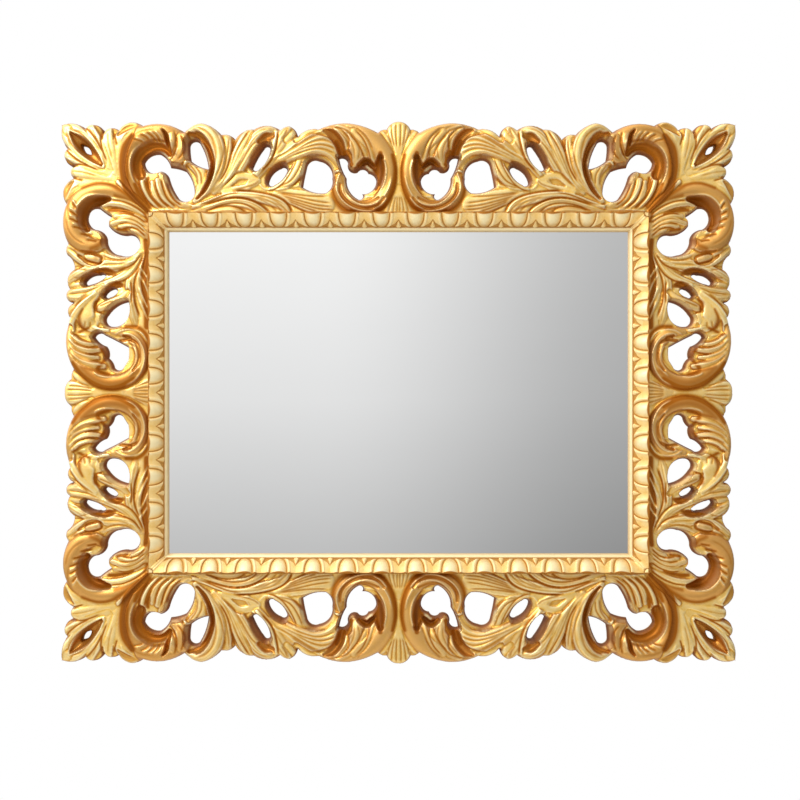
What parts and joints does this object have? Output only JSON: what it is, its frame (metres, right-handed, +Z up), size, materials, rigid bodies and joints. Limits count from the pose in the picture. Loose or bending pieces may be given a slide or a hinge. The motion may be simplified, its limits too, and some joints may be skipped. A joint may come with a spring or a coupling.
{
  "type": "framed wall mirror",
  "caption": "Landscape wall mirror in a carved and gilded openwork frame of scrolls and acanthus leaves, with an egg-and-dart moulding round plain glass.",
  "frame": {"origin": "middle of the mirror, on the plane of the wall that it hangs on", "axes": "+Z up, +X along the wall to the right of someone facing the mirror, +Y into the wall; the glass faces -Y"},
  "size_m": [1.0054, 0.048, 0.808],
  "materials": {
    "border_gilding": "carved and gilded, rubbed",
    "moulding_gilding": "carved and gilded, burnished",
    "mirror": "silvered float glass",
    "hardboard": "smooth side out",
    "spline_wood": "planed",
    "steel": "plain",
    "zinc_steel": "zinc plated",
    "hanger_metal": "brass plated steel",
    "rubber": "matte"
  },
  "bodies": {
    "frame": {"carved_rail_top": "border_gilding", "carved_rail_bottom": "border_gilding", "carved_stile_left": "border_gilding", "carved_stile_right": "border_gilding", "sight_moulding_top": "moulding_gilding", "sight_moulding_bottom": "moulding_gilding", "sight_moulding_left": "moulding_gilding", "sight_moulding_right": "moulding_gilding", "mirror_glass": "mirror", "backing_board": "hardboard", "corner_splines": "spline_wood", "moulding_v_nails": "steel", "moulding_screws": "zinc_steel", "turn_button_screws": "zinc_steel", "hanger_screws": "zinc_steel", "hanger_strap_left": "hanger_metal", "hanger_strap_right": "hanger_metal", "wall_bumper_left": "rubber", "wall_bumper_right": "rubber"},
    "turn_button_1": {"turn_button_1": "zinc_steel"},
    "turn_button_2": {"turn_button_2": "zinc_steel"},
    "turn_button_3": {"turn_button_3": "zinc_steel"},
    "turn_button_4": {"turn_button_4": "zinc_steel"},
    "turn_button_5": {"turn_button_5": "zinc_steel"},
    "turn_button_6": {"turn_button_6": "zinc_steel"},
    "turn_button_7": {"turn_button_7": "zinc_steel"},
    "turn_button_8": {"turn_button_8": "zinc_steel"},
    "hanger_ring_left": {"hanger_ring_left": "hanger_metal"},
    "hanger_ring_right": {"hanger_ring_right": "hanger_metal"}
  },
  "joints": [
    {"name": "turn_button_1_turn", "type": "hinge", "parent": "frame", "child": "turn_button_1", "pos_m": [0.17, -0.00705, 0.261], "axis": [0, 1, 0], "range_deg": [-90, 90]},
    {"name": "turn_button_2_turn", "type": "hinge", "parent": "frame", "child": "turn_button_2", "pos_m": [-0.17, -0.00705, 0.261], "axis": [0, 1, 0], "range_deg": [-90, 90]},
    {"name": "turn_button_3_turn", "type": "hinge", "parent": "frame", "child": "turn_button_3", "pos_m": [0.364, -0.00705, 0.12], "axis": [0, 1, 0], "range_deg": [-90, 90]},
    {"name": "turn_button_4_turn", "type": "hinge", "parent": "frame", "child": "turn_button_4", "pos_m": [0.364, -0.00705, -0.12], "axis": [0, 1, 0], "range_deg": [-90, 90]},
    {"name": "turn_button_5_turn", "type": "hinge", "parent": "frame", "child": "turn_button_5", "pos_m": [0.17, -0.00705, -0.261], "axis": [0, 1, 0], "range_deg": [-90, 90]},
    {"name": "turn_button_6_turn", "type": "hinge", "parent": "frame", "child": "turn_button_6", "pos_m": [-0.17, -0.00705, -0.261], "axis": [0, 1, 0], "range_deg": [-90, 90]},
    {"name": "turn_button_7_turn", "type": "hinge", "parent": "frame", "child": "turn_button_7", "pos_m": [-0.364, -0.00705, 0.12], "axis": [0, 1, 0], "range_deg": [-90, 90]},
    {"name": "turn_button_8_turn", "type": "hinge", "parent": "frame", "child": "turn_button_8", "pos_m": [-0.364, -0.00705, -0.12], "axis": [0, 1, 0], "range_deg": [-90, 90]},
    {"name": "hanger_ring_left_swing", "type": "hinge", "parent": "frame", "child": "hanger_ring_left", "pos_m": [-0.388, -0.0045, 0.172], "axis": [-1, 0, 0], "range_deg": [-4, 165]},
    {"name": "hanger_ring_right_swing", "type": "hinge", "parent": "frame", "child": "hanger_ring_right", "pos_m": [0.388, -0.0045, 0.172], "axis": [-1, 0, 0], "range_deg": [-4, 165]}
  ]
}
